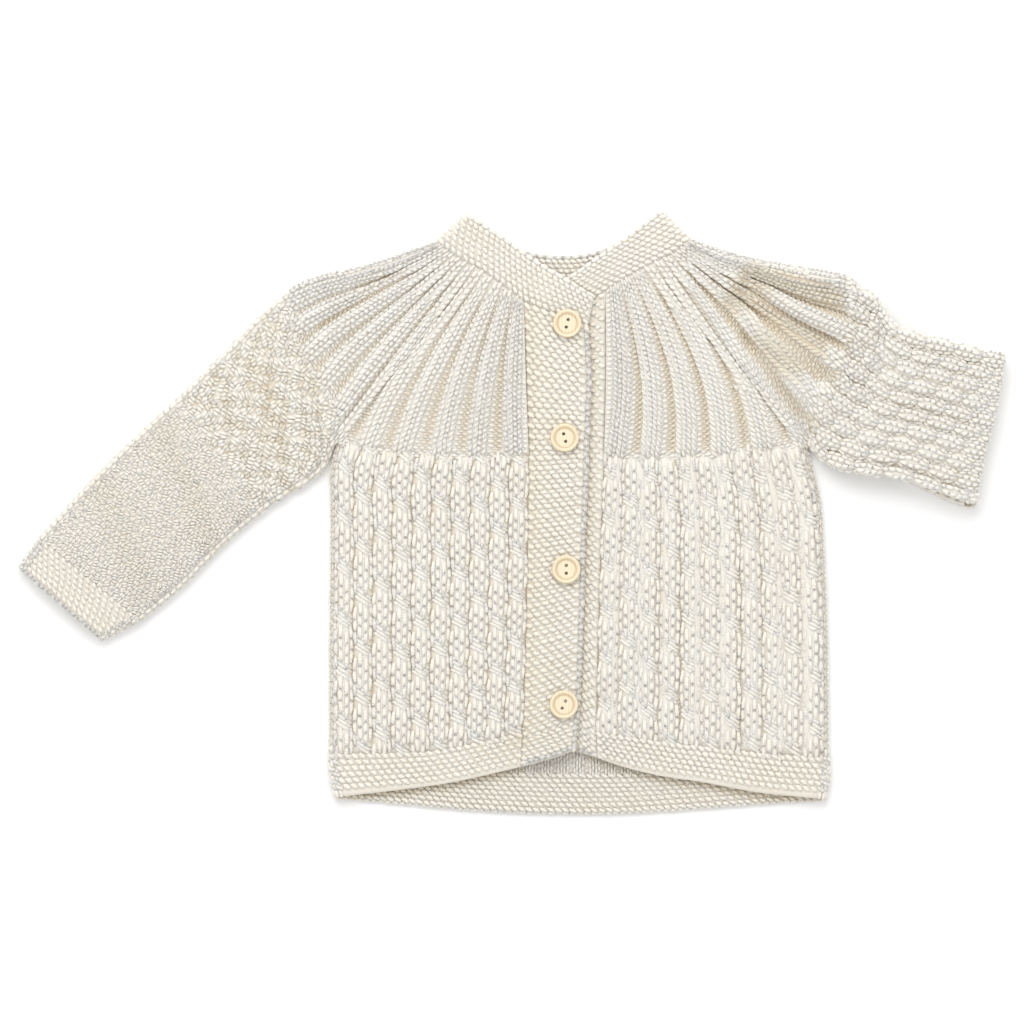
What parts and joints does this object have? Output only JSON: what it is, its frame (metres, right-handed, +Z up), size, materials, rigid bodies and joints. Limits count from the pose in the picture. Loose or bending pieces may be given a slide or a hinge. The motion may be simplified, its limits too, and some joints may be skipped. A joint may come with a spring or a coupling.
{
  "type": "baby cardigan",
  "caption": "Hand-knitted long-sleeved baby cardigan with a round ribbed yoke, garter bands and wooden buttons, buttoned and laid flat, its left forearm folded under.",
  "frame": {"origin": "centre of the cardigan's outline, on the surface that it lies on", "axes": "+X to the wearer's left, across the open arms; +Y to the neck; +Z up, away from the surface"},
  "size_m": [0.4926, 0.302, 0.0157],
  "materials": {
    "ivory_wool": "hand-knitted ivory wool, matt",
    "pale_wood": "turned pale wood, satin"
  },
  "bodies": {
    "root": {"back": "ivory_wool", "front_right": "ivory_wool", "front_left": "ivory_wool", "hem_back": "ivory_wool", "hem_right": "ivory_wool", "hem_left": "ivory_wool", "yoke_back": "ivory_wool", "yoke_right": "ivory_wool", "yoke_left": "ivory_wool", "sleeve_right": "ivory_wool", "cuff_right": "ivory_wool", "sleeve_left": "ivory_wool", "sleeve_left_back": "ivory_wool", "sleeve_left_fold": "ivory_wool", "cuff_left": "ivory_wool", "neckband": "ivory_wool", "buttonhole_band": "ivory_wool", "button_band": "ivory_wool", "button_1": "pale_wood", "button_2": "pale_wood", "button_3": "pale_wood", "button_4": "pale_wood"}
  },
  "joints": []
}
